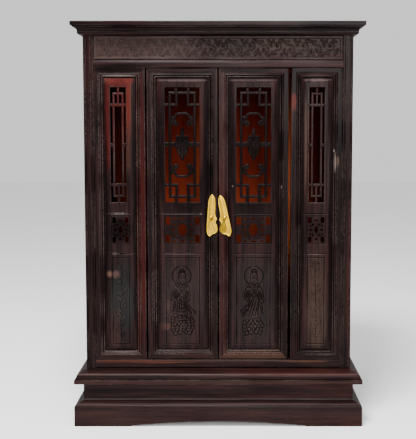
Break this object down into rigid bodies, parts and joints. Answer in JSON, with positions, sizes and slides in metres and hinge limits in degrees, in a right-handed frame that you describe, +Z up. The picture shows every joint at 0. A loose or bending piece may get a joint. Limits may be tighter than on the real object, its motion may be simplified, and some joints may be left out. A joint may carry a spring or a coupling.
{
  "type": "household altar cabinet",
  "caption": "Carved hardwood altar cabinet on a moulded stand, with fretwork doors that swing open between fixed leaves and brass wing-shaped pulls.",
  "frame": {"origin": "centre of the base at the underside of the plinth", "axes": "+Z up, -Y out of the front (the doors), +X to the right as seen from the front"},
  "size_m": [0.49, 0.32, 0.684],
  "materials": {
    "blackwood": "dark, satin, open-grained hardwood with reddish streaks and slightly worn edges",
    "redwood": "red-brown varnished board",
    "brass": "satin pale gold"
  },
  "bodies": {
    "cabinet": {"plinth_front": "blackwood", "plinth_right": "blackwood", "plinth_back": "blackwood", "plinth_left": "blackwood", "waist_front": "blackwood", "waist_right": "blackwood", "waist_back": "blackwood", "waist_left": "blackwood", "base_plate": "blackwood", "post_front_left": "blackwood", "post_front_right": "blackwood", "post_back_left": "blackwood", "post_back_right": "blackwood", "side_board_left": "blackwood", "side_board_right": "blackwood", "back_board": "redwood", "lower_rail": "blackwood", "upper_rail": "blackwood", "frieze_board": "blackwood", "soffit_board": "blackwood", "top_board": "blackwood", "fixed_leaf_left_bottom_rail": "blackwood", "fixed_leaf_left_right_stile": "blackwood", "fixed_leaf_left_top_rail": "blackwood", "fixed_leaf_left_left_stile": "blackwood", "fixed_leaf_left_panel": "blackwood", "fixed_leaf_right_bottom_rail": "blackwood", "fixed_leaf_right_right_stile": "blackwood", "fixed_leaf_right_top_rail": "blackwood", "fixed_leaf_right_left_stile": "blackwood", "fixed_leaf_right_panel": "blackwood"},
    "left_door": {"door_left_bottom_rail": "blackwood", "door_left_right_stile": "blackwood", "door_left_top_rail": "blackwood", "door_left_left_stile": "blackwood", "door_left_panel": "blackwood", "pull_plate_left": "brass", "pull_boss_left": "brass", "pull_drop_left": "brass"},
    "right_door": {"door_right_bottom_rail": "blackwood", "door_right_right_stile": "blackwood", "door_right_top_rail": "blackwood", "door_right_left_stile": "blackwood", "door_right_panel": "blackwood", "pull_plate_right": "brass", "pull_boss_right": "brass", "pull_drop_right": "brass"}
  },
  "joints": [
    {"name": "left_door_hinge", "type": "hinge", "parent": "cabinet", "child": "left_door", "pos_m": [-0.1145, -0.13, 0.1105], "axis": [0, 0, -1], "range_deg": [0, 110]},
    {"name": "right_door_hinge", "type": "hinge", "parent": "cabinet", "child": "right_door", "pos_m": [0.1128, -0.13, 0.1105], "axis": [0, 0, 1], "range_deg": [0, 110]}
  ]
}
